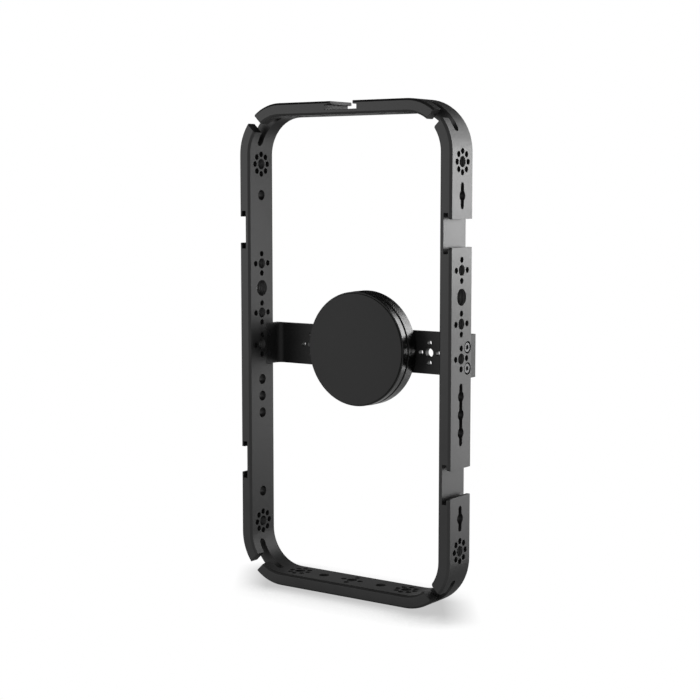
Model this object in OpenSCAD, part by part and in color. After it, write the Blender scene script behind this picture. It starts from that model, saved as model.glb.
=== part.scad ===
// Phone cage: an aluminium ring with accessory mounts, a cross bracket behind it, and a
// magnetic puck on the bracket that swivels and is clamped by a knurled lock ring.
// X runs across the cage, Y from its front to its back, and Z up. The origin is the middle
// of the bottom rail's outer face. All sizes are in millimetres.

/* [Cage frame] */
// Width over the side rails
cage_w = 124; // [112:1:150]
// Height over the top and bottom rails
cage_h = 240; // [228:1:290]
// Thickness of a rail
rail_t = 6.35; // [5.8:0.05:9]
// Depth of a rail, front to back
rail_d = 19.6; // [17.5:0.1:26]
// Inside radius of the corners
corner_r = 18.4; // [15:0.2:22]
// Chamfer along the rails' edges
edge_chamfer = 1; // [0.4:0.1:1.6]

/* [Strap slots] */
// Length of a corner's strap slot, end to end
strap_slot_l = 19; // [14:0.5:21]
// Width of a strap slot
strap_slot_w = 3.8; // [2.6:0.1:5]
// Distance of the slot's middle in front of the rail's middle
strap_slot_forward = 1.9; // [0:0.1:3]
// Width of the notch that lets a strap into the slot
strap_notch_w = 5.8; // [4:0.1:8]

/* [Cold shoes] */
// Gap between the lips
shoe_gap = 13; // [11:0.1:14]
// Width of the undercut channel
shoe_channel_w = 18.7; // [17:0.1:20]
// Height of the undercut channel
shoe_channel_h = 2.4; // [2:0.1:2.8]
// Thickness of the lips
shoe_lip_t = 1.6; // [1.2:0.1:2]
// Rounding of the lips' corners where a foot slides in
shoe_entry_r = 1.5; // [0.5:0.1:2.5]
// Distance of the side shoes above and below the cage's middle
shoe_offset = 58.1; // [56:0.1:62]

/* [Tapped holes] */
// Tapping diameter of a quarter-inch thread
quarter_d = 5.1; // [4.6:0.05:5.6]
// Tapping diameter of a three-eighths thread
three_eighths_d = 7.9; // [7:0.1:9]
// Diameter of the rails' anti-twist holes
twist_hole_d = 2.8; // [2:0.1:3.2]
// Diameter of the circle that the anti-twist holes lie on
twist_circle_d = 9.7; // [9:0.1:11]
// Number of anti-twist holes in a rosette
rosette_holes = 8; // [6:1:8]
// Number of anti-twist holes in a cross
cross_holes = 4; // [4:4:8]
// Length of the locating groove at one hole
groove_l = 12.3; // [10:0.1:13.5]
// Width of a locating groove
groove_w = 2.7; // [1.5:0.1:3.5]
// Depth of a locating groove
groove_depth = 2; // [1:0.1:3]
// Wall between a cold shoe and the grooved hole beside it
shoe_web = 1.65; // [1:0.05:3]
// Wall between an upper cold shoe and the cross below it
cross_web = 1.45; // [1:0.05:3]
// Wall between a grooved hole and the rosette beyond it on a side rail
rosette_web = 3.1; // [1.5:0.1:4.5]
// Wall between a grooved hole and the rosette beyond it on the top and bottom rails
end_rosette_web = 2.5; // [1.5:0.1:3.5]
// Pitch of the two lower crosses of a side rail
cross_pitch = 16.2; // [13:0.1:18]
// Wall between the middle cross and the grooved row of holes below it
row_web = 5.25; // [2:0.05:8]
// Pitch of the grooved row of holes
row_pitch = 8.54; // [7:0.02:10]
// Number of holes in the grooved row
row_holes = 3; // [2:1:3]

/* [Cross bracket] */
// Height of the plate
plate_h = 20.5; // [18:0.1:26]
// Thickness of the plate
plate_t = 3; // [2.4:0.1:5]
// Distance from the back of the rails to the front of the plate
plate_standoff = 4.5; // [4:0.1:9]
// Thickness of the flanges
bracket_flange_t = 3.8; // [3:0.1:4]
// Length of flange that lies in a rail's pocket
flange_lap = 6.3; // [5.5:0.1:8]
// Inside radius of the bends
bend_r = 3; // [1:0.1:4]
// Gap round a flange in its pocket
pocket_gap = 0.1; // [0.05:0.05:0.3]
// Tapping diameter of the plate's two M5 holes
plate_hole_d = 4.3; // [3.5:0.05:5]
// Diameter of the plate's anti-twist holes
plate_twist_d = 2.4; // [1.8:0.1:2.8]
// Distance from the puck's rim to the nearest anti-twist hole of the plate
pattern_margin = 1.15; // [0.5:0.05:3]

/* [Bracket screws] */
// Thread diameter
screw_d = 2.4; // [2:0.1:2.8]
// Head diameter
screw_head_d = 4.5; // [4:0.1:5]
// Head height
screw_head_h = 1.3; // [1:0.1:1.4]
// Width of the hexagon socket
screw_socket_w = 2; // [1.5:0.1:2.5]
// Depth of the hexagon socket
screw_socket_depth = 0.8; // [0.5:0.1:0.9]
// Diameter of the counterbore
counterbore_d = 5.8; // [5.2:0.1:6.2]
// Depth of the counterbore
counterbore_depth = 1.5; // [1:0.1:1.7]
// Clearance round a screw in its rail, and before its end in the flange
screw_clearance = 0.15; // [0.1:0.05:0.3]
// Distance between the two screws of a rail
screw_pitch = 9.9; // [9:0.1:12]
// Distance of the screws from the back of the rail
screw_inset = 4.1; // [3.6:0.1:4.5]

/* [Magnetic head] */
// Height of the puck's axis above the cage's middle
puck_lift = 0.6; // [0:0.1:2]
// Diameter of the head
head_d = 56.1; // [52:0.1:62]
// Thickness of the head at its rim
head_rim_t = 3.2; // [3:0.1:5]
// Width of the rim round the pad
pad_rim = 0.7; // [0.5:0.05:1.5]
// Thickness of the pad
pad_t = 1; // [0.8:0.05:1.6]
// Height of the pad above the rim
pad_proud = 0.6; // [0.3:0.05:0.7]
// Chamfer round the pad
pad_chamfer = 0.3; // [0.1:0.05:0.5]
// Thickness of the adhesive under the pad
adhesive_t = 0.1; // [0.05:0.05:0.15]
// Number of magnets
magnet_count = 16; // [8:1:24]
// Width of a magnet, measured from the puck's axis outwards
magnet_w = 3.8; // [2.5:0.1:4.5]
// Thickness of a magnet
magnet_t = 1.2; // [0.8:0.1:1.4]
// Gap between magnets, in degrees
magnet_gap_angle = 1.2; // [0.5:0.1:3]
// Wall outside the magnets
magnet_wall = 1.9; // [1.4:0.1:2.5]
// Thickness of the steel ring behind the magnets
yoke_t = 0.5; // [0.3:0.1:0.6]
// Width of the swivel flange beyond the neck
clamp_w = 2.6; // [2:0.1:4]
// Width of the rubber ring in the seam
drag_ring_w = 1.6; // [1:0.1:2.5]
// Depth of the rubber ring's groove in the head
drag_groove_depth = 0.5; // [0.3:0.1:0.6]
// Distance of the rubber ring from the head's rim
drag_ring_inset = 1.9; // [1:0.1:3]

/* [Lock ring and hub] */
// Height of the knurled ring's rim above the head's
ring_over = 0.15; // [0:0.05:1]
// Wall of the ring outside the hub's thread
ring_wall = 4.15; // [3:0.05:5]
// Width of the seam between the head and the ring
seam_w = 1.2; // [0.9:0.05:2]
// Thickness of the ring's clamping lip
lip_t = 1.5; // [1:0.1:2.5]
// Gap between the lip and the neck
lip_gap = 0.4; // [0.2:0.05:0.6]
// Gap between the ring and the bracket's plate
ring_back_gap = 0.4; // [0.2:0.05:0.8]
// Chamfer at the edges of the head and the ring
turned_chamfer = 0.3; // [0.1:0.05:0.5]
// Wall of the hub's cup
hub_wall = 1.95; // [1.5:0.05:2.5]
// Thickness of the hub's floor
hub_floor_t = 2.6; // [2.2:0.1:4]
// Gap between the hub's rim and the ring's lip
hub_rim_gap = 0.3; // [0.2:0.05:0.6]
// Diameter of the hub's threaded boss
boss_d = 13; // [12.8:0.1:15]
// Length of the boss
boss_l = 3.4; // [2:0.1:4]
// Gap round the boss
boss_gap = 1.5; // [0.5:0.1:2.5]
// Thickness of the slip washer under the lip
washer_t = 0.5; // [0.3:0.1:1]
// Thickness of the swivel flange
swivel_t = 1.5; // [1.3:0.1:2.5]
// Thickness of the brake ring in the hub
friction_t = 0.6; // [0.4:0.1:1]
// Width of the brake ring
friction_w = 7; // [4:0.1:9]
// Axial gap between faces that turn on each other
axial_gap = 0.1; // [0.05:0.05:0.2]
// Radial gap of turning and threaded fits
radial_gap = 0.05; // [0.02:0.01:0.1]

/* [Puck fasteners] */
// Thread diameter of the flange screws
flange_screw_d = 1.9; // [1.5:0.1:2.2]
// Head diameter of the flange screws
flange_screw_head_d = 3.8; // [3:0.1:4.2]
// Head height of the flange screws
flange_screw_head_h = 1; // [0.8:0.1:1.2]
// Length of the flange screws
flange_screw_l = 3.6; // [2.8:0.1:4.2]
// Width of the flange screws' hexagon socket
flange_socket_w = 1; // [0.8:0.1:1.2]
// Depth of the flange screws' hexagon socket
flange_socket_depth = 0.7; // [0.5:0.1:0.8]
// Number of flange screws
flange_screws_n = 4; // [3:1:6]
// Thread diameter of the mount screw
mount_screw_d = 6; // [5:0.1:6.2]
// Head diameter of the mount screw
mount_head_d = 12; // [10:0.1:14]
// Head height of the mount screw
mount_head_h = 2; // [1.5:0.1:3]
// Diameter of the split spring washer under that head
spring_washer_d = 10.4; // [9:0.1:11.5]
// Thickness of the spring washer
spring_washer_t = 0.9; // [0.6:0.1:1.6]
// Width of the spring washer's split
spring_washer_split = 0.8; // [0.4:0.1:1.5]
// Width of the slot in the mount screw
mount_slot_w = 1.4; // [1:0.1:2]
// Clearance of the mount screw in the plate
mount_clearance = 0.3; // [0.1:0.05:0.5]
// Depth of the anti-twist pins in the hub
pin_depth = 2; // [1:0.1:3]
// Diameter of the lock ring's grub screw
stop_screw_d = 2; // [1.6:0.1:2.4]
// Width of the grub screw's hexagon socket
stop_socket_w = 0.9; // [0.7:0.1:1.1]
// Depth of the grub screw's hexagon socket
stop_socket_depth = 1; // [0.5:0.1:1.5]
// Diameter of the grub screw's tip
stop_tip_d = 1.5; // [1.2:0.1:1.6]
// Depth of the arc groove that the tip runs in
stop_groove_depth = 0.8; // [0.5:0.1:1]
// Wall between the grub screw and the back of the ring
stop_web = 0.9; // [0.5:0.1:1.2]
// Turn of the lock ring from locked to free, in degrees
stop_turn = 60; // [30:5:120]
// Place of the grub screw round the ring when locked, in degrees from +X towards +Z
stop_place = 205; // [0:5:355]

/* [Hidden] */
$fn = 96;
over = 1;
fit_gap = 0.05;
black_metal = [0.19, 0.19, 0.2];
deep_black = [0.09, 0.09, 0.09];
polished_black = [0.14, 0.14, 0.15];
steel = [0.62, 0.63, 0.65];
rubber = [0.11, 0.11, 0.12];

mid_z = cage_h/2;
puck_z = mid_z + puck_lift;
outer_r = corner_r + rail_t;
corner_x = cage_w/2 - outer_r;
corner_z = cage_h/2 - outer_r;
inner_x = cage_w/2 - rail_t;
across = cage_w + 2*over;
along = cage_h + 2*over;

twist_reach = (twist_circle_d + twist_hole_d)/2;
plate_twist_reach = (twist_circle_d + plate_twist_d)/2;
grooved_offset = shoe_channel_w/2 + shoe_web + groove_l/2;
side_grooved = shoe_offset + grooved_offset;
side_rosette = side_grooved + groove_l/2 + rosette_web + twist_reach;
end_grooved = grooved_offset;
end_rosette = end_grooved + groove_l/2 + end_rosette_web + twist_reach;
upper_cross = shoe_offset - shoe_channel_w/2 - cross_web - twist_reach;
side_crosses = [0, cross_pitch, upper_cross];
three_eighths_offset = (cross_pitch + upper_cross)/2;
row_first = -(twist_reach + row_web + groove_l/2);
row_groove_l = groove_l + (row_holes - 1)*row_pitch;
row_middle = row_first - (row_holes - 1)*row_pitch/2;

rail_back_y = rail_d/2;
plate_front_y = rail_back_y + plate_standoff;
plate_back_y = plate_front_y + plate_t;
flange_front_y = rail_back_y - flange_lap;
flange_out_x = inner_x + bracket_flange_t;
screw_y = rail_back_y - screw_inset;
screw_seat_x = cage_w/2 - counterbore_depth;

head_r = head_d/2;
ring_r = head_r + ring_over;
ring_bore_r = ring_r - ring_wall;
hub_r = ring_bore_r - radial_gap;
cup_r = hub_r - hub_wall;
swivel_r = cup_r - radial_gap;
neck_r = swivel_r - clamp_w;
lip_r = neck_r + lip_gap;
pattern_x = ring_r + pattern_margin + plate_twist_reach;
boss_r = boss_d/2;
neck_bore_r = boss_r + boss_gap;
hub_floor_y = plate_front_y - hub_floor_t;
friction_front_y = hub_floor_y - friction_t;
swivel_back_y = friction_front_y - axial_gap;
swivel_front_y = swivel_back_y - swivel_t;
washer_back_y = swivel_front_y - axial_gap;
washer_front_y = washer_back_y - washer_t;
lip_back_y = washer_front_y - axial_gap;
ring_front_y = lip_back_y - lip_t;
ring_back_y = plate_front_y - ring_back_gap;
hub_front_y = lip_back_y + hub_rim_gap;
boss_front_y = hub_floor_y - boss_l;
head_back_y = ring_front_y - seam_w;
head_front_y = head_back_y - head_rim_t;
pad_front_y = head_front_y - pad_proud;
pad_back_y = pad_front_y + pad_t;
pad_seat_y = pad_back_y + adhesive_t;
pad_seat_r = head_r - pad_rim;
pad_r = pad_seat_r - fit_gap;
magnet_out_r = head_r - magnet_wall;
magnet_in_r = magnet_out_r - magnet_w;
magnet_back_y = pad_seat_y + magnet_t;
yoke_back_y = magnet_back_y + yoke_t;
drag_out_r = head_r - drag_ring_inset;
drag_in_r = drag_out_r - drag_ring_w;
drag_front_y = head_back_y - drag_groove_depth;
flange_screw_circle_r = (neck_bore_r + neck_r)/2;
mount_end_y = boss_front_y + fit_gap;
mount_seat_y = plate_back_y + spring_washer_t;
mount_head_back_y = mount_seat_y + mount_head_h;
pin_r = plate_twist_d/2 - fit_gap;
pin_end_y = plate_front_y - pin_depth;
stop_y = ring_back_y - stop_web - stop_screw_d/2;
stop_tip_r = hub_r - stop_groove_depth + axial_gap;
stop_head_r = ring_r - stop_web;
stop_shoulder_r = ring_bore_r + fit_gap;
stop_margin = asin((stop_tip_d/2 + axial_gap)/stop_tip_r);

// Repeats a right-hand shape on both sides of the cage
module both_sides() {
    for (side = [0, 1]) mirror([side, 0, 0]) children();
}

// Places a shape at the centre of each corner's bend, with X and Z pointing outwards
module each_corner() {
    for (side = [0, 1], end = [0, 1])
        translate([0, 0, mid_z]) mirror([side, 0, 0]) mirror([0, 0, end])
            translate([corner_x, 0, corner_z]) children();
}

// Lays a pattern on the side rails: its X runs up the rail and its Z across the cage
module on_sides(offset = 0) {
    translate([0, 0, mid_z + offset]) rotate([0, -90, 0]) children();
}

// Turns a shape so that its Z runs from front to back, and lifts it to a height
module front_to_back(height) {
    translate([0, 0, height]) rotate([-90, 0, 0]) children();
}

module on_puck_axis() {
    front_to_back(puck_z) children();
}

module turned(outline) {
    on_puck_axis() rotate_extrude() polygon(outline);
}

// A flat ring between two radii and two depths
module turned_ring(in_r, out_r, front_y, back_y) {
    turned([[in_r, front_y], [out_r, front_y], [out_r, back_y], [in_r, back_y]]);
}

module hole(d, l) {
    cylinder(d = d, h = l, center = true);
}

// A tapped hole with a circle of anti-twist holes, in the rails' sizes unless given others
module hole_pattern(count, l, middle_d = quarter_d, small_d = twist_hole_d) {
    hole(middle_d, l);
    for (k = [0 : count - 1])
        rotate(360/count*k) translate([twist_circle_d/2, 0, 0]) hole(small_d, l);
}

// A round-ended groove along X, cut from Z = 0 upwards
module groove(l) {
    straight = l - groove_w;
    translate([0, 0, -over]) linear_extrude(groove_depth + over) {
        square([straight, groove_w], center = true);
        for (end = [-1, 1]) translate([end*straight/2, 0]) circle(d = groove_w);
    }
}

// Section of a rail, at its distance from the centre of a corner's bend
module rail_section() {
    c = edge_chamfer;
    h = rail_d/2;
    polygon([[corner_r + c, -h], [outer_r - c, -h], [outer_r, c - h], [outer_r, h - c],
        [outer_r - c, h], [corner_r + c, h], [corner_r, h - c], [corner_r, c - h]]);
}

module plain_ring() {
    both_sides() translate([corner_x, 0, outer_r])
        linear_extrude(cage_h - 2*outer_r) rail_section();
    for (end = [0, 1]) translate([0, 0, mid_z]) mirror([0, 0, end])
        translate([corner_x, 0, corner_z]) rotate([0, -90, 0])
            linear_extrude(2*corner_x) rail_section();
    each_corner() rotate([90, 0, 0]) rotate_extrude(angle = 90) rail_section();
}

// Strap slot and entry notch of the corner, cut along its diagonal
module strap_slot() {
    inside = corner_r/2;
    l = outer_r - inside + over;
    straight = strap_slot_l - strap_slot_w;
    rotate([0, -45, 0]) translate([inside, 0, 0]) {
        translate([l/2, -strap_slot_forward, 0]) {
            cube([l, strap_slot_w, straight], center = true);
            for (end = [-1, 1]) translate([0, 0, end*straight/2])
                rotate([0, 90, 0]) hole(strap_slot_w, l);
        }
        translate([0, -rail_d/2 - over, -strap_notch_w/2])
            cube([l, rail_d/2 + over - strap_slot_forward, strap_notch_w]);
    }
}

// Cold shoe cut down from Z = 0, with its channel along Y
module shoe_cut() {
    rotate([-90, 0, 0]) linear_extrude(rail_d + 2*over, center = true) {
        translate([-shoe_gap/2, -over]) square([shoe_gap, over + shoe_lip_t + shoe_channel_h]);
        translate([-shoe_channel_w/2, shoe_lip_t]) square([shoe_channel_w, shoe_channel_h]);
    }
    for (side = [0, 1], end = [0, 1]) mirror([side, 0, 0]) mirror([0, end, 0])
        translate([shoe_gap/2, rail_d/2 - shoe_entry_r, -shoe_lip_t - shoe_channel_h/2])
            linear_extrude(shoe_lip_t + shoe_channel_h/2 + over) lip_corner();
}

// What is cut away to round a lip's corner
module lip_corner() {
    difference() {
        translate([-over, 0]) square([shoe_entry_r + over, shoe_entry_r + over]);
        translate([shoe_entry_r, 0]) circle(shoe_entry_r);
    }
}

module all_shoe_cuts() {
    translate([0, 0, cage_h]) shoe_cut();
    both_sides() for (end = [-1, 1])
        translate([cage_w/2, 0, mid_z + end*shoe_offset]) rotate([0, 90, 0]) shoe_cut();
}

module side_rail_holes() {
    for (end = [-1, 1]) {
        on_sides(end*side_rosette) hole_pattern(rosette_holes, across);
        on_sides(end*side_grooved) hole(quarter_d, across);
    }
    for (offset = side_crosses) on_sides(offset) hole_pattern(cross_holes, across);
    on_sides(three_eighths_offset) hole(three_eighths_d, across);
    for (k = [0 : row_holes - 1]) on_sides(row_first - k*row_pitch) hole(quarter_d, across);
    both_sides() translate([cage_w/2, 0, 0]) {
        for (end = [-1, 1]) on_sides(end*side_grooved) groove(groove_l);
        on_sides(row_middle) groove(row_groove_l);
    }
}

module end_rail_holes() {
    both_sides() {
        translate([end_rosette, 0, mid_z]) hole_pattern(rosette_holes, along);
        translate([end_grooved, 0, mid_z]) {
            hole(quarter_d, along);
            for (end = [0, 1]) mirror([0, 0, end]) translate([0, 0, -cage_h/2]) groove(groove_l);
        }
    }
    translate([0, 0, rail_t/2]) hole_pattern(cross_holes, rail_t + 2*over);
}

// Pocket for a bracket flange, and the two screw holes through its floor
module flange_pocket() {
    translate([inner_x - over, flange_front_y - pocket_gap, mid_z - plate_h/2 - pocket_gap])
        cube([bracket_flange_t + over, flange_lap + pocket_gap + over, plate_h + 2*pocket_gap]);
    screw_places() {
        translate([0, 0, -rail_t]) cylinder(d = screw_d + 2*screw_clearance, h = rail_t + over);
        cylinder(d = counterbore_d, h = counterbore_depth + over);
    }
}

// Places a shape at the seat of the two right-hand bracket screws, with Z pointing outwards
module screw_places() {
    for (end = [-1, 1])
        translate([screw_seat_x, screw_y, mid_z + end*screw_pitch/2]) rotate([0, 90, 0]) children();
}

module cage_frame() {
    color(black_metal) difference() {
        plain_ring();
        each_corner() strap_slot();
        all_shoe_cuts();
        side_rail_holes();
        end_rail_holes();
        both_sides() flange_pocket();
    }
}

module bracket_outline() {
    flat_x = inner_x - bend_r;
    bend_y = plate_front_y - bend_r;
    front_y = flange_front_y - over;
    difference() {
        translate([-flange_out_x, flange_front_y])
            square([2*flange_out_x, plate_back_y - flange_front_y]);
        translate([-inner_x, front_y]) square([2*inner_x, bend_y - front_y]);
        translate([-flat_x, front_y]) square([2*flat_x, plate_front_y - front_y]);
        for (side = [-1, 1]) translate([side*flat_x, bend_y]) circle(bend_r);
    }
}

module cross_bracket() {
    depth = 2*(plate_back_y + over);
    color(deep_black) difference() {
        translate([0, 0, mid_z]) linear_extrude(plate_h, center = true) bracket_outline();
        for (x = [-pattern_x, pattern_x]) translate([x, 0, 0]) front_to_back(mid_z)
            hole_pattern(cross_holes, depth, plate_hole_d, plate_twist_d);
        on_puck_axis()
            hole_pattern(cross_holes, depth, mount_screw_d + 2*mount_clearance, plate_twist_d);
        both_sides() screw_places() hole(screw_d + 2*fit_gap, 2*rail_t);
    }
}

module bracket_screw() {
    reach = screw_seat_x - inner_x - screw_clearance;
    difference() {
        union() {
            translate([0, 0, -reach]) cylinder(d = screw_d, h = reach);
            cylinder(d = screw_head_d, h = screw_head_h);
        }
        translate([0, 0, screw_head_h - screw_socket_depth])
            cylinder(d = screw_socket_w/cos(30), h = screw_socket_depth + over, $fn = 6);
    }
}

module bracket_screws() {
    color(deep_black) both_sides() screw_places() bracket_screw();
}

module mount_hub() {
    thread_r = mount_screw_d/2 + radial_gap;
    color(black_metal) difference() {
        turned([[thread_r, boss_front_y], [boss_r, boss_front_y], [boss_r, hub_floor_y],
            [cup_r, hub_floor_y], [cup_r, hub_front_y], [hub_r, hub_front_y],
            [hub_r, plate_front_y], [thread_r, plate_front_y]]);
        on_puck_axis() rotate(stop_margin - stop_place)
            mirror([0, 1, 0]) rotate_extrude(angle = stop_turn + 2*stop_margin)
                translate([hub_r - stop_groove_depth, stop_y - stop_tip_d/2 - axial_gap])
                    square([stop_groove_depth + over, stop_tip_d + 2*axial_gap]);
        pin_places() cylinder(d = plate_twist_d, h = 2*(pin_depth + fit_gap), center = true);
    }
}

// Places a shape at the plate's front face where the two anti-twist pins go
module pin_places() {
    for (side = [-1, 1])
        translate([side*twist_circle_d/2, plate_front_y, 0]) on_puck_axis() children();
}

module mount_screw() {
    r = mount_screw_d/2;
    head = mount_head_d/2;
    c = turned_chamfer;
    color(steel) difference() {
        turned([[0, mount_end_y], [r - c, mount_end_y], [r, mount_end_y + c], [r, mount_seat_y],
            [head, mount_seat_y], [head, mount_head_back_y - c], [head - c, mount_head_back_y],
            [0, mount_head_back_y]]);
        translate([0, mount_head_back_y, puck_z])
            cube([mount_head_d + over, mount_head_h, mount_slot_w], center = true);
    }
}

module spring_washer() {
    color(steel) difference() {
        turned_ring(mount_screw_d/2 + mount_clearance, spring_washer_d/2, plate_back_y, mount_seat_y);
        translate([0, plate_back_y - over, puck_z])
            cube([spring_washer_d, spring_washer_t + 2*over, spring_washer_split]);
    }
}

module anti_twist_pins() {
    color(steel) pin_places() translate([0, 0, -pin_depth]) cylinder(r = pin_r, h = pin_depth + plate_t);
}

module friction_disc() {
    out_r = cup_r - radial_gap;
    color(rubber) turned_ring(out_r - friction_w, out_r, friction_front_y, hub_floor_y);
}

// Places a shape at the lock ring's grub screw, with Z pointing outwards from the puck's axis
module stop_screw_place() {
    translate([0, stop_y, puck_z]) rotate([0, 90 - stop_place, 0]) children();
}

module lock_ring() {
    c = turned_chamfer;
    color(polished_black) difference() {
        turned([[lip_r, ring_front_y], [ring_r - c, ring_front_y], [ring_r, ring_front_y + c],
            [ring_r, ring_back_y - c], [ring_r - c, ring_back_y], [ring_bore_r, ring_back_y],
            [ring_bore_r, lip_back_y], [lip_r, lip_back_y]]);
        stop_screw_place() cylinder(d = stop_screw_d + 2*fit_gap, h = ring_r + over);
    }
}

module stop_screw() {
    color(steel) stop_screw_place() difference() {
        union() {
            translate([0, 0, stop_tip_r]) cylinder(d = stop_tip_d, h = stop_head_r - stop_tip_r);
            translate([0, 0, stop_shoulder_r])
                cylinder(d = stop_screw_d, h = stop_head_r - stop_shoulder_r);
        }
        translate([0, 0, stop_head_r - stop_socket_depth])
            cylinder(d = stop_socket_w/cos(30), h = stop_socket_depth + over, $fn = 6);
    }
}

module glide_washer() {
    color("whitesmoke") turned_ring(lip_r, swivel_r, washer_front_y, washer_back_y);
}

// Places a shape at the flange screws' heads, with Z pointing to the front of the puck
module flange_screw_places() {
    on_puck_axis() for (k = [0 : flange_screws_n - 1]) rotate(360/flange_screws_n*(k + 0.5))
        translate([flange_screw_circle_r, 0, swivel_back_y]) mirror([0, 0, 1]) children();
}

// A countersunk screw's outline, carried on by the same cone above its head where it cuts a hole
module countersunk(gap, above) {
    d = flange_screw_d + 2*gap;
    head = flange_screw_head_d + 2*gap;
    spread = (head - d)/flange_screw_head_h;
    translate([0, 0, -above]) {
        cylinder(d = d, h = flange_screw_l + 2*above);
        cylinder(d1 = head + spread*above, d2 = d, h = flange_screw_head_h + above);
    }
}

module head_housing() {
    c = turned_chamfer;
    color(polished_black) difference() {
        turned([[0, pad_seat_y], [pad_seat_r, pad_seat_y], [pad_seat_r, head_front_y],
            [head_r - c, head_front_y], [head_r, head_front_y + c], [head_r, head_back_y - c],
            [head_r - c, head_back_y], [neck_r, head_back_y], [neck_r, swivel_front_y],
            [neck_bore_r, swivel_front_y], [neck_bore_r, head_back_y], [0, head_back_y]]);
        turned_ring(magnet_in_r - fit_gap, magnet_out_r + fit_gap, pad_seat_y - over, yoke_back_y);
        turned_ring(drag_in_r - fit_gap, drag_out_r + fit_gap, drag_front_y, head_back_y + over);
        flange_screw_places() cylinder(d = flange_screw_d + 2*fit_gap, h = flange_screw_l + fit_gap);
    }
}

module face_pad() {
    c = pad_chamfer;
    color(rubber) turned([[0, pad_front_y], [pad_r - c, pad_front_y], [pad_r, pad_front_y + c],
        [pad_r, pad_back_y], [0, pad_back_y]]);
}

module pad_adhesive() {
    color("lightgrey") turned([[0, pad_back_y], [pad_r, pad_back_y], [pad_r, pad_seat_y], [0, pad_seat_y]]);
}

module magnet_segments() {
    step = 360/magnet_count;
    color(steel) on_puck_axis() for (k = [0 : magnet_count - 1]) rotate(k*step)
        rotate_extrude(angle = step - magnet_gap_angle)
            translate([magnet_in_r, pad_seat_y]) square([magnet_w, magnet_t]);
}

module magnet_yoke() {
    color(steel) turned_ring(magnet_in_r, magnet_out_r, magnet_back_y, yoke_back_y);
}

module swivel_flange() {
    color(steel) difference() {
        turned_ring(neck_bore_r, swivel_r, swivel_front_y, swivel_back_y);
        flange_screw_places() countersunk(fit_gap, over);
    }
}

module flange_screws() {
    color(steel) flange_screw_places() difference() {
        countersunk(0, 0);
        translate([0, 0, -over])
            cylinder(d = flange_socket_w/cos(30), h = over + flange_socket_depth, $fn = 6);
    }
}

module drag_ring() {
    color(rubber) turned_ring(drag_in_r, drag_out_r, drag_front_y, ring_front_y - axial_gap);
}

cage_frame();
cross_bracket();
bracket_screws();
mount_hub();
mount_screw();
spring_washer();
anti_twist_pins();
friction_disc();
lock_ring();
stop_screw();
glide_washer();
head_housing();
face_pad();
pad_adhesive();
magnet_segments();
magnet_yoke();
swivel_flange();
flange_screws();
drag_ring();
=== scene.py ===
# %% [markdown]
# # A phone cage with a swivelling magnetic puck
# The real object is a ring milled from aluminium, blasted and anodised black. A bent bracket
# behind it carries a puck that holds a phone by magnets. The puck's head swivels, and a finely
# grooved ring behind the head clamps it. The measured solids are loaded first: they hold every
# size and every place, so this lesson only softens edges, models what is too fine for them, and
# gives each surface its finish.

# %% Load the measured solids
import math

import bpy
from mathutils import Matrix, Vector


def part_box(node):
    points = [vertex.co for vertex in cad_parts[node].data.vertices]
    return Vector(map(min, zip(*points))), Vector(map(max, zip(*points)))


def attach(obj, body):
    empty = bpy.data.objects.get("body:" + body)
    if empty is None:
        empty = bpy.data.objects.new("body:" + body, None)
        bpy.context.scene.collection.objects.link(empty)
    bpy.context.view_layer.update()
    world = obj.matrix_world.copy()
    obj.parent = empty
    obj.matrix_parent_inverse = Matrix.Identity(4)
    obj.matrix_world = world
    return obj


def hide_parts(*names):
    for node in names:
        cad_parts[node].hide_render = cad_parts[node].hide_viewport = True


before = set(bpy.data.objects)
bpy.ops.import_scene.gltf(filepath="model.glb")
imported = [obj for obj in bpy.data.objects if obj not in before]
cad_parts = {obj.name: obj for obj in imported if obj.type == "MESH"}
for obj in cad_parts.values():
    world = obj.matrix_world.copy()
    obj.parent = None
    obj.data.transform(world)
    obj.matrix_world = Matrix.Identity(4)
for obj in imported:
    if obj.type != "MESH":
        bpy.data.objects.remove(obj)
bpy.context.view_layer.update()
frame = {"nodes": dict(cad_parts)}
nodes = frame["nodes"]
MM = 0.001
print("solids:", ", ".join(sorted(nodes)))

# %% [markdown]
# ## The camera comes first
# The photograph was taken from the right and a little above, with a long lens, so the frame's far
# side is nearly as large as its near side. A lens of 80 mm on a 36 mm sensor gives that flat
# perspective. The camera is turned with a tracking rotation, because it then needs only a place
# and a point to look at.

# %% Camera
CAMERA_PLACE = Vector((434.1, -613.5, 198.3)) * MM
CAMERA_AIM = Vector((-1.15, 0, 120.4)) * MM
CAMERA_LENS = 79.93
SENSOR_W = 36

camera_data = bpy.data.cameras.new("camera")
camera_data.lens = CAMERA_LENS
camera_data.sensor_width = SENSOR_W
camera = bpy.data.objects.new("camera", camera_data)
camera.location = CAMERA_PLACE
camera.rotation_euler = (CAMERA_AIM - CAMERA_PLACE).to_track_quat("-Z", "Y").to_euler()
bpy.context.scene.collection.objects.link(camera)
bpy.context.scene.camera = camera
print("camera is", round((CAMERA_AIM - CAMERA_PLACE).length, 3), "m from the cage")

# %% [markdown]
# ## Small tools for modelling
# Operators act on whatever is selected, and the loaded solids start out selected. So each step
# first deselects everything and then picks its own piece. A modifier is applied at once, so that
# the finished mesh holds the shape.

# %% Selecting and applying
def pick(piece):
    """Makes the piece the only one that is selected."""
    bpy.ops.object.select_all(action="DESELECT")
    piece.select_set(True)
    bpy.context.view_layer.objects.active = piece


def apply_modifier(piece, kind, **settings):
    """Adds a modifier with these settings and applies it."""
    pick(piece)
    modifier = piece.modifiers.new(kind, kind)
    for name, value in settings.items():
        setattr(modifier, name, value)
    bpy.ops.object.modifier_apply(modifier=modifier.name)


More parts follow.
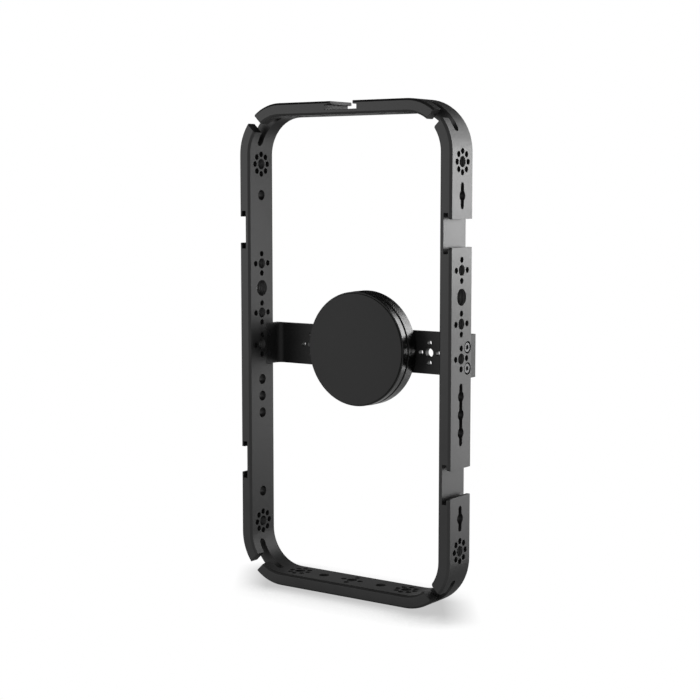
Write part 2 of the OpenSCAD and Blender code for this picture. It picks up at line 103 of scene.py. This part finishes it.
def smooth(piece, degrees):
    """Shades the piece smooth, but leaves edges sharp that turn by more than the angle."""
    pick(piece)
    bpy.ops.object.shade_smooth_by_angle(angle=math.radians(degrees))


def triangles(piece):
    piece.data.calc_loop_triangles()
    return len(piece.data.loop_triangles)


heaviest = max(nodes, key=lambda node: triangles(nodes[node]))
print("heaviest solid:", heaviest, "with", triangles(nodes[heaviest]), "triangles")

# %% [markdown]
# ## Edges that a tumbler has touched
# Machined edges are never knife-sharp: deburring leaves a rounding of a tenth or two, and that
# thin line is what catches the light. The solids are copied, their loose triangles are merged
# and flat faces made whole again, and a Bevel modifier then rounds each edge that is sharper than
# a bore's facets. Modelling these pieces again by hand would only lose their sizes. The bracket
# goes first.

# %% Copying a solid and rounding its edges
SAME_POINT = 0.002 * MM
FLAT_DEGREES = 0.3
EDGE_DEGREES = 30
SHADE_DEGREES = 35
BRACKET_EDGE = 0.15 * MM


def merged_copy(node):
    """Copies a solid, joins its loose triangles and makes its flat faces whole."""
    piece = bpy.data.objects.new(node + "_finished", nodes[node].data.copy())
    bpy.context.scene.collection.objects.link(piece)
    pick(piece)
    bpy.ops.object.mode_set(mode="EDIT")
    bpy.ops.mesh.select_all(action="SELECT")
    bpy.ops.mesh.customdata_custom_splitnormals_clear()
    bpy.ops.mesh.remove_doubles(threshold=SAME_POINT)
    bpy.ops.mesh.dissolve_limited(angle_limit=math.radians(FLAT_DEGREES))
    bpy.ops.mesh.select_all(action="DESELECT")
    bpy.ops.object.mode_set(mode="OBJECT")
    return piece


def round_edges(piece, width):
    """Rounds every edge that turns sharply, and evens out the shading beside it."""
    apply_modifier(piece, "BEVEL", width=width, segments=2, limit_method="ANGLE",
                   angle_limit=math.radians(EDGE_DEGREES), use_clamp_overlap=False)
    smooth(piece, SHADE_DEGREES)
    apply_modifier(piece, "WEIGHTED_NORMAL", mode="FACE_AREA", weight=100, keep_sharp=True)


def hand_over(piece, node, body):
    """Puts the finished piece on its body, in place of the solid."""
    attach(piece, body)
    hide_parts(node)
    print(piece.name, triangles(piece), "triangles")


bracket = merged_copy("cross_bracket")
round_edges(bracket, BRACKET_EDGE)
hand_over(bracket, "cross_bracket", "cage")

# %% [markdown]
# ### The head and its thin seam
# The head is turned with nearly sharp edges, and only a thin dark line parts it from the ring
# behind. The solid has a plain chamfer and a wider seam there. On the copy the points of the two
# chamfers are selected by their place and scaled out towards the rim, and the rear edge of the rim
# is then moved back over part of the seam.

# %% Drawing out the head's rim
CLOSE = 0.01 * MM
HEAD_EDGE = 0.12 * MM
HEAD_RIM_T = 3.2 * MM
TURNED_CHAMFER = 0.3 * MM
FINE_CHAMFER = 0.08 * MM
RIM_OVERHANG = 0.5 * MM
HEAD_LOW, HEAD_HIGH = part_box("head_housing")
HEAD_R = (HEAD_HIGH.x - HEAD_LOW.x) / 2
PUCK_Z = (HEAD_LOW.z + HEAD_HIGH.z) / 2
PUCK_AXIS = (0, 0, PUCK_Z)


def off_puck_axis(place):
    return math.hypot(place.x, place.z - PUCK_Z)


def grab_points(piece, wanted):
    """Selects the points whose place is wanted, and opens the piece for editing."""
    pick(piece)
    bpy.context.tool_settings.mesh_select_mode = (True, False, False)
    for point in piece.data.vertices:
        point.select = wanted(point.co)
    print(piece.name, sum(point.select for point in piece.data.vertices), "points moved")
    bpy.ops.object.mode_set(mode="EDIT")


def let_go():
    bpy.ops.mesh.select_all(action="DESELECT")
    bpy.ops.object.mode_set(mode="OBJECT")


def on_chamfer(place):
    from_front = place.y - HEAD_LOW.y
    at_face = min(abs(from_front), abs(from_front - HEAD_RIM_T)) < CLOSE
    return at_face and abs(off_puck_axis(place) - HEAD_R + TURNED_CHAMFER) < 2 * CLOSE


def on_rear_edge(place):
    outside = off_puck_axis(place) > HEAD_R - TURNED_CHAMFER / 2
    return outside and place.y > HEAD_LOW.y + HEAD_RIM_T / 2


head = merged_copy("head_housing")
grab_points(head, on_chamfer)
grow = (HEAD_R - FINE_CHAMFER) / (HEAD_R - TURNED_CHAMFER)
bpy.ops.transform.resize(value=(grow, 1, grow), center_override=PUCK_AXIS)
let_go()
grab_points(head, on_rear_edge)
bpy.ops.transform.translate(value=(0, RIM_OVERHANG, 0))
let_go()
round_edges(head, HEAD_EDGE)
hand_over(head, "head_housing", "magnet_head")

# %% [markdown]
# ### The screws
# Screw heads are turned and then tumbled, so their slots and sockets have softer edges than the
# frame. Copy and bevel are all they need.

# %% Screws
SCREW_EDGE = 0.1 * MM

mount_screw = merged_copy("mount_screw")
round_edges(mount_screw, SCREW_EDGE)
hand_over(mount_screw, "mount_screw", "cage")
screws = merged_copy("bracket_screws")
round_edges(screws, SCREW_EDGE)
hand_over(screws, "bracket_screws", "cage")

# %% [markdown]
# ## Threads in the tapped holes
# The solids state a tapped hole as a plain bore of its tapping size, which looks too smooth and
# too bright inside. On a copy each bore's wall is deleted, and the rim is extruded again and
# again through the rail, scaled out to the thread's root and back to its crest. Rings stand in
# for the helix here: from outside a rail nobody can tell them apart, and they close cleanly.

# %% Cutting one thread
BORE_SLACK = 0.05
WALL_TILT = 0.1
CREST_SHARE = 0.15


def cut_thread(piece, axis, centre, thread, low, high):
    """Cuts rings of thread into the bore along axis (0 is x, 2 is z) between low and high."""
    centre = Vector(centre)
    bore_r, root_r, pitch = thread

    def on_bore(place):
        away = place - centre
        away[axis] = 0
        return abs(away.length - bore_r) < BORE_SLACK * bore_r

    pick(piece)
    for face in piece.data.polygons:
        wall = on_bore(face.center) and abs(face.normal[axis]) < WALL_TILT
        face.select = wall and low < face.center[axis] < high
    bpy.ops.object.mode_set(mode="EDIT")
    bpy.ops.mesh.delete(type="FACE")
    bpy.ops.object.mode_set(mode="OBJECT")
    for edge in piece.data.edges:
        ends = [piece.data.vertices[number].co for number in edge.vertices]
        edge.select = all(on_bore(end) and abs(end[axis] - low) < CLOSE for end in ends)
    turns = round((high - low) / pitch)
    step = (high - low) / turns
    rings = []
    for number in range(turns):
        rings.append(((number + CREST_SHARE) * step, bore_r))
        rings.append(((number + 0.5) * step, root_r))
        rings.append(((number + 1 - CREST_SHARE) * step, bore_r))
    rings.append((high - low, bore_r))
    bpy.ops.object.mode_set(mode="EDIT")
    depth_before, radius_before = 0, bore_r
    for depth, radius in rings:
        move = [0, 0, 0]
        move[axis] = depth - depth_before
        bpy.ops.mesh.extrude_edges_move(TRANSFORM_OT_translate={"value": move})
        grow = [radius / radius_before] * 3
        grow[axis] = 1
        bpy.ops.transform.resize(value=grow, center_override=centre)
        depth_before, radius_before = depth, radius
    bpy.ops.mesh.select_all(action="SELECT")
    bpy.ops.mesh.remove_doubles(threshold=CLOSE)
    let_go()


print("one turn of thread is", round(100 - 200 * CREST_SHARE), "per cent flank")

# %% [markdown]
# ### Which holes are threaded
# The larger holes of the rails take the screws of tripods, handles and arms: a quarter inch, and
# three eighths of an inch for heavier gear. The loop goes through both side rails and then the
# two end rails. A closed mesh has two faces at every edge, so counting the others shows at once
# whether a rim was missed. Only then are the frame's edges rounded.

# %% Threads in all four rails
CAGE_LOW, CAGE_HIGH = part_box("cage_frame")
MID_Z = (CAGE_LOW.z + CAGE_HIGH.z) / 2
RAIL_T = 6.35 * MM
# A counterbore comes within 0.2 mm of the frame's chamfer, so two roundings must fit between them.
CAGE_EDGE = 0.09 * MM

# Bore radius, root radius and pitch of each thread, and the places of its holes in millimetres
# from the middle of the rail.
QUARTER = (2.55 * MM, 3.1 * MM, 1.27 * MM)
THREE_EIGHTHS = (3.95 * MM, 4.65 * MM, 1.59 * MM)
SIDE_QUARTER_Z = (-90.75, 0, 16.2, 41.05, 90.75)
SIDE_LARGE_Z = 28.63
TOP_X = (-32.05, 32.05)
BOTTOM_X = (-32.05, 0, 32.05)


def open_edges(piece):
    used = {}
    for face in piece.data.polygons:
        for key in face.edge_keys:
            used[key] = used.get(key, 0) + 1
    return sum(1 for count in used.values() if count != 2)


cage = merged_copy("cage_frame")
bpy.context.tool_settings.mesh_select_mode = (False, True, False)
left_rail = (CAGE_LOW.x, CAGE_LOW.x + RAIL_T)
right_rail = (CAGE_HIGH.x - RAIL_T, CAGE_HIGH.x)
for low, high in (left_rail, right_rail):
    for z in SIDE_QUARTER_Z:
        cut_thread(cage, 0, (0, 0, MID_Z + z * MM), QUARTER, low, high)
    cut_thread(cage, 0, (0, 0, MID_Z + SIDE_LARGE_Z * MM), THREE_EIGHTHS, low, high)
for x in TOP_X:
    cut_thread(cage, 2, (x * MM, 0, 0), QUARTER, CAGE_HIGH.z - RAIL_T, CAGE_HIGH.z)
for x in BOTTOM_X:
    cut_thread(cage, 2, (x * MM, 0, 0), QUARTER, CAGE_LOW.z, CAGE_LOW.z + RAIL_T)
print("open edges after the threads:", open_edges(cage))
round_edges(cage, CAGE_EDGE)
hand_over(cage, "cage_frame", "cage")

# %% [markdown]
# ## The lock ring
# The ring behind the head is the part that the fingers turn. It is made as on a lathe: a circle
# is extruded along the axis and scaled, once for each corner of the ring's profile, until the
# last ring of edges meets the first. The circle has eight points for each groove that comes next.

# %% Turning a ring from a circle
RING_LOW, RING_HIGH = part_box("lock_ring")
RING_R = (RING_HIGH.x - RING_LOW.x) / 2
RIM_CHAMFER = 0.35 * MM
RING_BORE = 24.05 * MM
LIP_BORE = 19.8 * MM
LIP_T = 1.5 * MM
GROOVE_COUNT = 240
GROOVE_STEPS = 8


def turn(name, profile, segments):
    """Turns a closed ring about the puck's axis from (radius, depth) points in metres."""
    bpy.ops.object.select_all(action="DESELECT")
    radius, depth = profile[0]
    bpy.ops.mesh.primitive_circle_add(vertices=segments, radius=radius,
                                      location=(0, depth, PUCK_Z), rotation=(math.pi / 2, 0, 0))
    piece = bpy.context.active_object
    piece.name = name
    bpy.ops.object.transform_apply(location=True, rotation=True, scale=True)
    bpy.ops.object.mode_set(mode="EDIT")
    bpy.ops.mesh.select_all(action="SELECT")
    for (r0, y0), (r1, y1) in zip(profile, profile[1:] + profile[:1]):
        bpy.ops.mesh.extrude_edges_move(TRANSFORM_OT_translate={"value": (0, y1 - y0, 0)})
        bpy.ops.transform.resize(value=(r1 / r0, 1, r1 / r0), center_override=(0, y1, PUCK_Z))
    bpy.ops.mesh.select_all(action="SELECT")
    bpy.ops.mesh.remove_doubles(threshold=SAME_POINT)
    bpy.ops.mesh.normals_make_consistent(inside=False)
    let_go()
    return piece


front_y, back_y = RING_LOW.y, RING_HIGH.y
ring_profile = [
    (LIP_BORE, front_y), (RING_R - RIM_CHAMFER, front_y), (RING_R, front_y + RIM_CHAMFER),
    (RING_R, back_y - RIM_CHAMFER), (RING_R - RIM_CHAMFER, back_y), (RING_BORE, back_y),
    (RING_BORE, front_y + LIP_T), (LIP_BORE, front_y + LIP_T)]
lock_ring = turn("lock_ring_knurled", ring_profile, GROOVE_STEPS * GROOVE_COUNT)
print(lock_ring.name, "outer radius", round(RING_R / MM, 2), "mm")

# %% [markdown]
# ### Grooves for the fingers
# A knurling wheel presses fine straight grooves into the rim. One of every eight rim points is
# selected and drawn in towards the axis, so the ring stays one closed shell, which separate ridges
# set onto it would not. The grooves are kept shallow: in the photograph they only feather the
# reflections and never break them up.

# %% Drawing in the grooves
GROOVE_DEPTH = 0.025 * MM
RING_SHADE_DEGREES = 25


def on_groove(place):
    angle = math.atan2(place.x, place.z - PUCK_Z)
    step = round(angle / math.tau * GROOVE_STEPS * GROOVE_COUNT)
    return abs(off_puck_axis(place) - RING_R) < CLOSE and step % GROOVE_STEPS == 1


grab_points(lock_ring, on_groove)
shrink = (RING_R - GROOVE_DEPTH) / RING_R
bpy.ops.transform.resize(value=(shrink, 1, shrink), center_override=PUCK_AXIS)
let_go()
print("groove pitch", round(math.tau * RING_R / GROOVE_COUNT / MM, 2), "mm")

# %% [markdown]
# ### The grub screw's hole
# A small grub screw goes through the ring's wall and stops its turn. A drill makes the hole on the
# real ring, and here a cylinder of the drill's size does: it lies on the line from the puck's axis
# through the screw, a Boolean modifier takes it out of the ring, and it is deleted afterwards.

# %% Drilling the ring
DRILL_ROOM = 0.05 * MM
DRILL_SIDES = 48
SCREW_LOW, SCREW_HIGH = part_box("stop_screw")
screw_r = (SCREW_HIGH.y - SCREW_LOW.y) / 2
screw_middle = (SCREW_LOW + SCREW_HIGH) / 2
outwards = Vector((screw_middle.x, 0, screw_middle.z - PUCK_Z)).normalized()
drill_place = Vector((0, screw_middle.y, PUCK_Z)) + RING_R * outwards

bpy.ops.object.select_all(action="DESELECT")
bpy.ops.mesh.primitive_cylinder_add(vertices=DRILL_SIDES, radius=screw_r + DRILL_ROOM,
                                    depth=RING_R - LIP_BORE, location=drill_place,
                                    rotation=outwards.to_track_quat("Z", "Y").to_euler())
drill = bpy.context.active_object
apply_modifier(lock_ring, "BOOLEAN", operation="DIFFERENCE", object=drill, solver="EXACT")
bpy.data.objects.remove(drill)
smooth(lock_ring, RING_SHADE_DEGREES)
print("hole of", round(2 * (screw_r + DRILL_ROOM) / MM, 2), "mm, open edges", open_edges(lock_ring))
hand_over(lock_ring, "lock_ring", "lock_ring")

# %% [markdown]
# ## The silicone face pad
# The phone lies on a thin disc of silicone that is glued into the head. Moulded silicone has a
# soft edge, so the disc is turned like the ring, with a quarter round in place of the solid's
# chamfer. Turning leaves a pinhole in the middle: its wall is deleted, and the two small holes
# are filled with one face each.

# %% Turning the pad
PAD_LOW, PAD_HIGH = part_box("face_pad")
PAD_R = (PAD_HIGH.x - PAD_LOW.x) / 2
PAD_EDGE = 0.35 * MM
PINHOLE_R = 0.4 * MM
EDGE_STEPS = 5
PAD_SEGMENTS = 192
PAD_SHADE_DEGREES = 40

soft_edge = []
for step in range(EDGE_STEPS + 1):
    angle = math.pi / 2 * step / EDGE_STEPS
    soft_edge.append((PAD_R - PAD_EDGE + PAD_EDGE * math.sin(angle),
                      PAD_LOW.y + PAD_EDGE - PAD_EDGE * math.cos(angle)))
pad_profile = ([(PINHOLE_R, PAD_LOW.y)] + soft_edge
               + [(PAD_R, PAD_HIGH.y), (PINHOLE_R, PAD_HIGH.y)])
pad = turn("face_pad_moulded", pad_profile, PAD_SEGMENTS)
for face in pad.data.polygons:
    face.select = off_puck_axis(face.center) < 1.01 * PINHOLE_R
bpy.ops.object.mode_set(mode="EDIT")
bpy.ops.mesh.delete(type="FACE")
bpy.ops.mesh.select_all(action="SELECT")
bpy.ops.mesh.fill_holes(sides=0)
bpy.ops.mesh.normals_make_consistent(inside=False)
let_go()
smooth(pad, PAD_SHADE_DEGREES)
hand_over(pad, "face_pad", "magnet_head")
print("pad radius", round(PAD_R / MM, 2), "mm")

# %% [markdown]
# ## Finishes
# Colours are written as sRGB hex values, as a colour picker shows them, and one function turns
# them into the linear values that the renderer works in. One more function adds a node with its
# settings and links. Patterns are placed by Object coordinates, so their sizes are real ones.

# %% Colour and node helpers
def linear(hex_colour):
    """Turns an sRGB hex colour into linear red, green, blue and alpha."""
    values = []
    for start in (1, 3, 5):
        v = int(hex_colour[start:start + 2], 16) / 255
        values.append(v / 12.92 if v <= 0.04045 else ((v + 0.055) / 1.055) ** 2.4)
    return (*values, 1)


def add_node(tree, kind, settings=None, links=None):
    """Adds a node, sets its sockets or properties by name and links its inputs."""
    node = tree.nodes.new(kind)
    for name, value in (settings or {}).items():
        if name in node.inputs:
            node.inputs[name].default_value = value
        else:
            setattr(node, name, value)
    for name, source in (links or {}).items():
        tree.links.new(source, node.inputs[name])
    return node


def new_finish(name):
    finish = bpy.data.materials.new(name)
    finish.use_nodes = True
    tree = finish.node_tree
    tree.nodes.clear()
    place = add_node(tree, "ShaderNodeTexCoord").outputs["Object"]
    return finish, tree, place


def end_finish(tree, settings, links):
    shader = add_node(tree, "ShaderNodeBsdfPrincipled", settings, links)
    add_node(tree, "ShaderNodeOutputMaterial", links={"Surface": shader.outputs[0]})


def per_metre(size_mm):
    """Texture scale at which one cell of a pattern is about size_mm wide."""
    return 1 / (size_mm * MM)


print("mid grey #808080 is", round(linear("#808080")[0], 3), "in linear light")

# %% [markdown]
# ### A tone, a gloss and a grain
# Most of the finishes need the same three things from a noise: a colour that wanders between
# two close tones, a gloss that wanders with it, and a bump. Each gets a small function, so the
# finishes below stay short.

# %% Parts of a finish
def mixed_tone(tree, factor, dark, pale):
    tone = add_node(tree, "ShaderNodeMix", {"data_type": "RGBA"}, {"Factor": factor})
    tone.inputs["A"].default_value = linear(dark)
    tone.inputs["B"].default_value = linear(pale)
    return tone.outputs["Result"]


def uneven_gloss(tree, factor, roughness, spread):
    settings = {"To Min": roughness - spread, "To Max": roughness + spread}
    gloss = add_node(tree, "ShaderNodeMapRange", settings, {"Value": factor})
    return gloss.outputs["Result"]


def fine_bump(tree, height, strength, depth_mm):
    settings = {"Strength": strength, "Distance": depth_mm * MM}
    bump = add_node(tree, "ShaderNodeBump", settings, {"Height": height})
    return bump.outputs["Normal"]


def noise(tree, place, cell_mm, detail):
    settings = {"Scale": per_metre(cell_mm), "Detail": detail}
    return add_node(tree, "ShaderNodeTexNoise", settings, {"Vector": place}).outputs["Fac"]


print("a grain of a quarter millimetre repeats", round(per_metre(0.25)), "times in a metre")

# %% [markdown]
# ### Blasted and anodised aluminium
# Bead blasting leaves a fine even grain, and the black oxide layer over it drinks most of the
# light, so the metal looks like soft charcoal with a broad dull highlight. The grain of the real
# surface is about a tenth of a millimetre, too fine for the picture, so it is drawn at a quarter
# of a millimetre. Broad clouds of about a centimetre keep the wide faces from looking flat.

# %% Frame and bracket finishes
CLOUD_MM = 9
BLAST_DEPTH_MM = 0.02


def anodised(name, dark, pale, roughness, grain_mm, grain_strength, metal, edge):
    finish, tree, place = new_finish(name)
    cloud = noise(tree, place, CLOUD_MM, 4)
    grain = noise(tree, place, grain_mm, 2)
    end_finish(tree, {"Metallic": metal, "Specular Tint": linear(edge)},
               {"Base Color": mixed_tone(tree, cloud, dark, pale),
                "Roughness": uneven_gloss(tree, cloud, roughness, 0.05),
                "Normal": fine_bump(tree, grain, grain_strength, BLAST_DEPTH_MM)})
    return finish


# Soft charcoal: the frame turns pale only where it mirrors a lamp.
frame_finish = anodised("blasted_anodised_aluminium", "#2e2e2e", "#353535", roughness=0.45,
                        grain_mm=0.25, grain_strength=0.4, metal=0.8, edge="#a8a8a8")
# A deeper black than the frame, with a little more shine: the bracket stays in the background.
bracket_finish = anodised("satin_anodised_aluminium", "#202020", "#262626", roughness=0.42,
                          grain_mm=0.3, grain_strength=0.3, metal=0.6, edge="#505050")
print("finishes:", frame_finish.name, "and", bracket_finish.name)

# %% [markdown]
# ### Polished and anodised rims
# The rims of the head and the lock ring are polished on the lathe before they are dyed, so they
# mirror the room in long streaks. Fine lathe lines run round the axis: a Wave texture in bands
# across the rim gives them, spread to a width that the picture can show.

# %% Rim finish
# A Wave texture draws about three bands in each cell of its pattern.
LATHE_MM = 2.5
LATHE_DEPTH_MM = 0.005


def polished(name, colour, roughness, edge):
    finish, tree, place = new_finish(name)
    lathe = add_node(tree, "ShaderNodeTexWave",
                     {"wave_type": "BANDS", "bands_direction": "Y", "Scale": per_metre(LATHE_MM),
                      "Distortion": 0.6, "Detail": 2},
                     {"Vector": place}).outputs["Fac"]
    end_finish(tree, {"Base Color": linear(colour), "Metallic": 0.95, "Specular Tint": linear(edge)},
               {"Roughness": uneven_gloss(tree, lathe, roughness, 0.03),
                "Normal": fine_bump(tree, lathe, 0.1, LATHE_DEPTH_MM)})
    return finish


# Dark mirror: nearly black where it mirrors a card, and pale where it mirrors a lamp.
ring_finish = polished("polished_anodised_aluminium", "#404040", roughness=0.27, edge="#d0d0d0")
print("finish:", ring_finish.name)

# %% [markdown]
# ### Silicone, rubber, steel and plastics
# Silicone is matte with a faint haze at grazing light. The pieces inside the puck are hardly
# seen, but each still gets the finish of its own stock: turned steel, plated magnets, nylon. One
# noise gives each of them its tone, gloss and grain.

# %% Other finishes
def grained(name, dark, pale, cell_mm, roughness, depth_mm, **shader):
    finish, tree, place = new_finish(name)
    grain = noise(tree, place, cell_mm, 3)
    end_finish(tree, shader,
               {"Base Color": mixed_tone(tree, grain, dark, pale),
                "Roughness": uneven_gloss(tree, grain, roughness, 0.06),
                "Normal": fine_bump(tree, grain, 0.4, depth_mm)})
    return finish


# Even soft black without a mirror image: the plain disc in the middle of the picture.
pad_finish = grained("moulded_silicone", "#0e0e0e", "#121212", 0.4, 0.7, 0.01, IOR=1.41)
# Black and dull: the seam reads as a dark line.
seal_finish = grained("seal_rubber", "#0e0e0e", "#141414", 0.5, 0.7, 0.01, IOR=1.52)
# Blue-black and half dull: the screw heads hardly stand out from the rail.
black_steel = grained("black_oxide_steel", "#141415", "#1a1a1c", 0.5, 0.52, 0.005, Metallic=0.6)
# Bright and cool, with soft highlights.
steel_finish = grained("turned_steel", "#a8a9ab", "#b9babc", 0.4, 0.28, 0.004, Metallic=1.0)
# Bright and slightly warm, with a sharper shine than the steel.
nickel_finish = grained("nickel_plate", "#b9b4a8", "#c4bfb2", 0.8, 0.18, 0.002, Metallic=1.0)
# Milky white with a waxy shine.
nylon_finish = grained("nylon", "#dcd9cf", "#e6e3da", 0.6, 0.45, 0.005, IOR=1.53)
# Pale and slightly glossy, like tape.
film_finish = grained("adhesive_film", "#c9c6bd", "#d3d0c8", 0.7, 0.5, 0.005, IOR=1.47)
# Brown-grey and rough, like pressed paper.
fibre_finish = grained("brake_fibre", "#3a342c", "#4d463c", 0.35, 0.8, 0.02, IOR=1.5)
print(len(bpy.data.materials), "materials in the file")

# %% [markdown]
# ### Every piece gets its finish
# The solids that stay in the picture and the pieces made here are dressed from one list. Only the
# rims of the head and the ring are polished: their flat faces keep the bracket's satin black,
# because a mirror there would show as a bright line round the pad.

# %% Dressing the pieces
FLAT_FACING = 0.5

made = {"cage_frame": cage, "cross_bracket": bracket, "head_housing": head, "lock_ring": lock_ring,
        "face_pad": pad, "mount_screw": mount_screw, "bracket_screws": screws}
finish_of = {
    "cage_frame": frame_finish, "mount_hub": frame_finish, "cross_bracket": bracket_finish,
    "head_housing": ring_finish, "lock_ring": ring_finish, "face_pad": pad_finish,
    "drag_ring": seal_finish, "bracket_screws": black_steel, "mount_screw": steel_finish,
    "spring_washer": steel_finish, "anti_twist_pins": steel_finish, "stop_screw": steel_finish,
    "magnet_yoke": steel_finish, "swivel_flange": steel_finish, "flange_screws": steel_finish,
    "magnet_segments": nickel_finish, "glide_washer": nylon_finish, "pad_adhesive": film_finish,
    "friction_disc": fibre_finish}


def dress(piece, finish):
    piece.data.materials.clear()
    piece.data.materials.append(finish)


for node, finish in finish_of.items():
    dress(nodes[node], finish)
    if node in made:
        dress(made[node], finish)
for piece in (head, lock_ring):
    piece.data.materials.append(bracket_finish)
    for face in piece.data.polygons:
        face.material_index = 1 if abs(face.normal.y) > FLAT_FACING else 0
print(len(finish_of), "solids and", len(made), "finished pieces are dressed")

# %% [markdown]
# ## The floor
# The cage stands on white ground that melts into the background, with a painted soft shadow close to
# its foot. Light falls on the floor as on any matte surface, but the camera and the mirroring
# metal see plain white instead. Ambient occlusion paints a shadow into that white where the foot
# hides the sky. A fade to both sides, measured across the line that the camera looks along, keeps
# the painted shadow under the cage.

# %% Floor
FLOOR_SIZE = 12
SHADOW_REACH = 28 * MM
SHADOW_FALL = 12
SHADOW_DARKEST = 0.55
ACROSS_VIEW = (0.816, 0.579, 0)
FADE_START = 43 * MM
FADE_END = 60 * MM


def add_math(tree, operation, *values):
    """Adds a Math node. Each value is a number or the output of another node."""
    node = add_node(tree, "ShaderNodeMath", {"operation": operation})
    for socket, value in zip(node.inputs, values):
        if isinstance(value, bpy.types.NodeSocket):
            tree.links.new(value, socket)
        else:
            socket.default_value = value
    return node.outputs[0]


bpy.ops.object.select_all(action="DESELECT")
bpy.ops.mesh.primitive_plane_add(size=FLOOR_SIZE, location=(0, 0, 0))
floor = bpy.context.active_object
floor.name = "floor"
floor_finish, tree, place = new_finish("white_floor")

# Painted shadow: ambient occlusion within the reach, raised to a power, darkens the glow that the
# camera sees.
hidden_sky = add_node(tree, "ShaderNodeAmbientOcclusion", {"samples": 16, "Distance": SHADOW_REACH})
fall = add_math(tree, "POWER", hidden_sky.outputs["AO"], SHADOW_FALL)
shade = add_node(tree, "ShaderNodeMapRange", {"To Min": SHADOW_DARKEST, "To Max": 1.0},
                 {"Value": fall})
across = add_node(tree, "ShaderNodeVectorMath", {"operation": "DOT_PRODUCT"}, {"Vector": place})
across.inputs[1].default_value = ACROSS_VIEW
aside = add_math(tree, "ABSOLUTE", across.outputs["Value"])
foot = add_node(tree, "ShaderNodeMapRange",
                {"From Min": FADE_START, "From Max": FADE_END, "To Min": 1, "To Max": 0},
                {"Value": aside})
# The painted shadow is mixed into the glow's white and fades out to both sides of the foot.
white_with_painted_shadow = add_node(tree, "ShaderNodeMix", {"A": 1.0},
                 {"Factor": foot.outputs["Result"], "B": shade.outputs["Result"]})

ray = add_node(tree, "ShaderNodeLightPath")
seen = add_math(tree, "MAXIMUM", ray.outputs["Is Camera Ray"], ray.outputs["Is Glossy Ray"])
seen = add_math(tree, "MAXIMUM", seen, ray.outputs["Is Transmission Ray"])
glow = add_node(tree, "ShaderNodeEmission", {"Color": (1, 1, 1, 1)},
                {"Strength": white_with_painted_shadow.outputs["Result"]})
matte = add_node(tree, "ShaderNodeBsdfDiffuse", {"Color": (0.8, 0.8, 0.8, 1)})
both = add_node(tree, "ShaderNodeMixShader", None, {"Fac": seen})
tree.links.new(matte.outputs[0], both.inputs[1])
tree.links.new(glow.outputs[0], both.inputs[2])
add_node(tree, "ShaderNodeOutputMaterial", links={"Surface": both.outputs[0]})
dress(floor, floor_finish)
print("floor shadow reaches", round(SHADOW_REACH / MM), "mm from the foot")

# %% [markdown]
# ## World and lamps
# A white world lights everything evenly, as a light tent does. Black metal shows its shape by what
# it mirrors, so each lamp stands where one surface mirrors it towards the camera. Three strips of
# different length overlap behind the right rail, so that its light grows towards the top. Smaller
# lamps do the same for the puck's rims, for the inner face of the left rail and for the upper right
# corner, and a broad one fills the front from the left. A small spread keeps a lamp on its target.

# %% Lamps
STRIP_TOP = 320
STRIPS = ((-80, 0.05), (45, 0.046), (150, 0.043))

world = bpy.data.worlds.new("studio")
world.use_nodes = True
world.node_tree.nodes["Background"].inputs["Color"].default_value = (1, 1, 1, 1)
world.node_tree.nodes["Background"].inputs["Strength"].default_value = 1.0
bpy.context.scene.world = world
bpy.context.scene.view_settings.view_transform = "Standard"


def aimed(place_mm, aim_mm):
    return (Vector(aim_mm) - Vector(place_mm)).to_track_quat("-Z", "Y").to_euler()


def soft_lamp(name, place_mm, aim_mm, size_mm, watts, spread):
    """Hangs a rectangular lamp at a place, aimed at a point, both in millimetres."""
    data = bpy.data.lights.new(name, "AREA")
    data.shape = "RECTANGLE"
    data.size = size_mm[0] * MM
    data.size_y = size_mm[1] * MM
    data.energy = watts
    data.spread = math.radians(spread)
    lamp = bpy.data.objects.new(name, data)
    lamp.location = Vector(place_mm) * MM
    lamp.rotation_euler = aimed(place_mm, aim_mm)
    bpy.context.scene.collection.objects.link(lamp)


for low, watts in STRIPS:
    middle = (low + STRIP_TOP) / 2
    soft_lamp("rail_strip", (155, 130, middle), (62, 0, middle), (60, STRIP_TOP - low), watts, 40)
soft_lamp("puck_light", (165, 250, 225), (20, 0, 140), (110, 130), 0.014, 40)
soft_lamp("inner_light", (125, 250, 110), (-55, 0, 110), (80, 280), 0.42, 180)
soft_lamp("corner_light", (165, 245, 355), (57, 0, 230), (140, 140), 0.045, 40)
soft_lamp("front_left", (-300, -380, 210), (-30, 0, 120), (300, 300), 0.33, 120)
print(len(bpy.data.lights), "lamps,", round(sum(lamp.energy for lamp in bpy.data.lights), 3), "W")

# %% [markdown]
# ## Black cards
# A photographer holds black cards beside polished metal, so that it mirrors a dark edge next to a
# bright one. Two cards darken the top of the puck's rims, and a large one overhead darkens what
# looks up. They cast no shadow and the camera doesn't see them: they exist for mirrors alone.

# %% Cards
card_finish = grained("black_card", "#050505", "#080808", 5, 0.9, 0.01)


def black_card(name, place_mm, aim_mm, size_mm):
    """Hangs a card that only mirroring surfaces see."""
    bpy.ops.object.select_all(action="DESELECT")
    bpy.ops.mesh.primitive_plane_add(size=1, location=Vector(place_mm) * MM)
    card = bpy.context.active_object
    card.name = name
    card.scale = (size_mm[0] * MM, size_mm[1] * MM, 1)
    card.rotation_euler = aimed(place_mm, aim_mm)
    card.visible_camera = False
    card.visible_shadow = False
    card.visible_diffuse = False
    dress(card, card_finish)
    print(name, size_mm[0], "by", size_mm[1], "mm")


black_card("card_back_left", (-11, 171, 228), (12, 9, 145), (134, 184))
black_card("card_above", (-150, 0, 520), (-20, 0, 120), (900, 900))
black_card("card_near_puck", (-44, 100, 176), (12, 9, 145), (85, 52))
